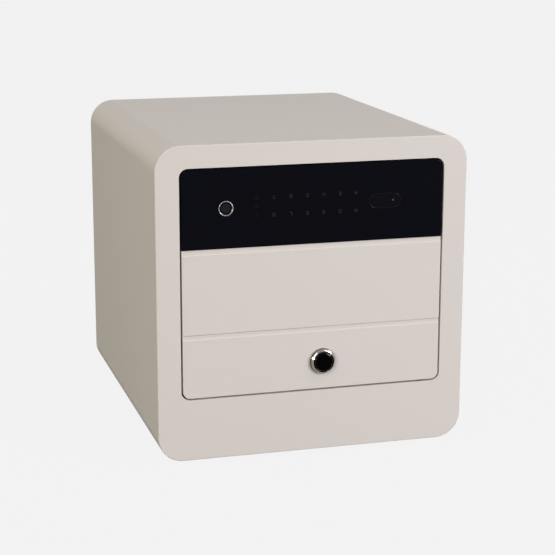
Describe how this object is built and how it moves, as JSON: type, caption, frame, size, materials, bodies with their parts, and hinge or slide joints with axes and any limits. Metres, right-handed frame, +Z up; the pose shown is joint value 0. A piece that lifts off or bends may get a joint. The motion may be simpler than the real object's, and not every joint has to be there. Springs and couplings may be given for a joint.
{
  "type": "biometric safe",
  "caption": "Rounded steel safe with an inset door carrying a black glass touch panel, a fingerprint reader and a capped emergency key lock.",
  "frame": {"origin": "centre of the footprint, on the surface the rubber feet stand on", "axes": "+Z up; the door faces -Y; +X is to the right for someone facing the door"},
  "size_m": [0.36, 0.416, 0.361],
  "materials": {
    "cabinet_paint": "fine powder coat, satin",
    "front_paint": "fine powder coat, satin",
    "back_paint": "fine powder coat, satin",
    "tank_paint": "textured powder coat, matt",
    "shelf_paint": "powder coat, satin",
    "cover_paint": "powder coat, satin",
    "grey_felt": "needled felt",
    "zinc_steel": "zinc plated sheet",
    "screw_steel": "bright zinc",
    "pin_steel": "ground",
    "bolt_steel": "turned, nickel plated",
    "foot_rubber": "moulded, matt",
    "brass_metal": "machined",
    "black_glass": "polished, back painted black",
    "chrome_trim": "bright plated",
    "sensor_glass": "satin sensor face",
    "window_plastic": "smoked, polished",
    "lens_glass": "small moulded lens",
    "board_green": "solder mask on glass laminate",
    "tray_plastic": "moulded, fine spark texture",
    "barrel_zinc": "die-cast zinc, tumbled",
    "gearbox_metal": "die-cast zinc case",
    "motor_can": "drawn steel can",
    "cell_sleeve": "printed sleeve without marks",
    "contact_metal": "nickel plated",
    "ribbon_grey": "flat cable",
    "cap_gloss": "polished black",
    "button_red": "moulded"
  },
  "bodies": {
    "cabinet": {"body_shell": "cabinet_paint", "front_frame": "front_paint", "back_panel": "back_paint", "inner_tank": "tank_paint", "floor_mat": "grey_felt", "shelf_rails": "zinc_steel", "rail_screws": "screw_steel", "rubber_feet": "foot_rubber", "foot_screws": "screw_steel", "hinge_bushes": "brass_metal"},
    "shelf": {"shelf": "shelf_paint", "shelf_mat": "grey_felt"},
    "door": {"door_pan": "front_paint", "door_glass": "black_glass", "hinge_blocks": "zinc_steel", "hinge_pins": "pin_steel", "finger_ring": "chrome_trim", "finger_sensor": "sensor_glass", "oval_window": "window_plastic", "oval_lens": "lens_glass", "sensor_board": "board_green", "key_board": "board_green", "panel_tray": "tray_plastic", "key_ring": "chrome_trim", "lock_barrel": "barrel_zinc", "barrel_nut": "zinc_steel", "gearbox": "gearbox_metal", "motor": "motor_can", "guide_screws": "screw_steel", "control_board": "board_green", "board_screws": "screw_steel", "buzzer": "tray_plastic", "battery_tray": "tray_plastic", "battery_cells": "cell_sleeve", "battery_contacts": "contact_metal", "ribbon_cable": "ribbon_grey", "door_cover": "cover_paint", "cover_screws": "screw_steel"},
    "bolts": {"bolt_plate": "zinc_steel", "lock_bolts": "bolt_steel"},
    "pinion": {"drive_pinion": "brass_metal"},
    "plug": {"key_plug": "brass_metal", "key_tail": "zinc_steel"},
    "cap": {"key_cap": "cap_gloss"},
    "lid": {"battery_lid": "cover_paint"},
    "button": {"reset_button": "button_red"}
  },
  "joints": [
    {"name": "door_hinge", "type": "hinge", "parent": "cabinet", "child": "door", "pos_m": [0.1295, -0.1935, 0.205], "axis": [0, 0, 1], "range_deg": [0, 110]},
    {"name": "bolt_slide", "type": "slide", "parent": "door", "child": "bolts", "axis": [-1, 0, 0], "range_m": [0, 0.014]},
    {"name": "pinion_spin", "type": "hinge", "parent": "door", "child": "pinion", "pos_m": [-0.04, -0.175, 0.13555], "axis": [0, 1, 0], "range_deg": [0, 135]},
    {"name": "key_turn", "type": "hinge", "parent": "door", "child": "plug", "pos_m": [0.011, -0.202, 0.1083], "axis": [0, 1, 0], "range_deg": [0, 90]},
    {"name": "cap_pull", "type": "slide", "parent": "door", "child": "cap", "axis": [0, -1, 0], "range_m": [0, 0.015]},
    {"name": "lid_lift", "type": "slide", "parent": "door", "child": "lid", "axis": [0, 1, 0], "range_m": [0, 0.02]},
    {"name": "reset_press", "type": "slide", "parent": "door", "child": "button", "axis": [0, -1, 0], "range_m": [0, 0.001], "stiffness_N_per_m": 400, "springref_m": -0.001},
    {"name": "shelf_lift", "type": "slide", "parent": "cabinet", "child": "shelf", "axis": [0, 0, 1], "range_m": [0, 0.05]}
  ],
  "couplings": [
    {"joint": "pinion_spin", "follows": "bolt_slide", "rad_per_m": 166.67}
  ]
}
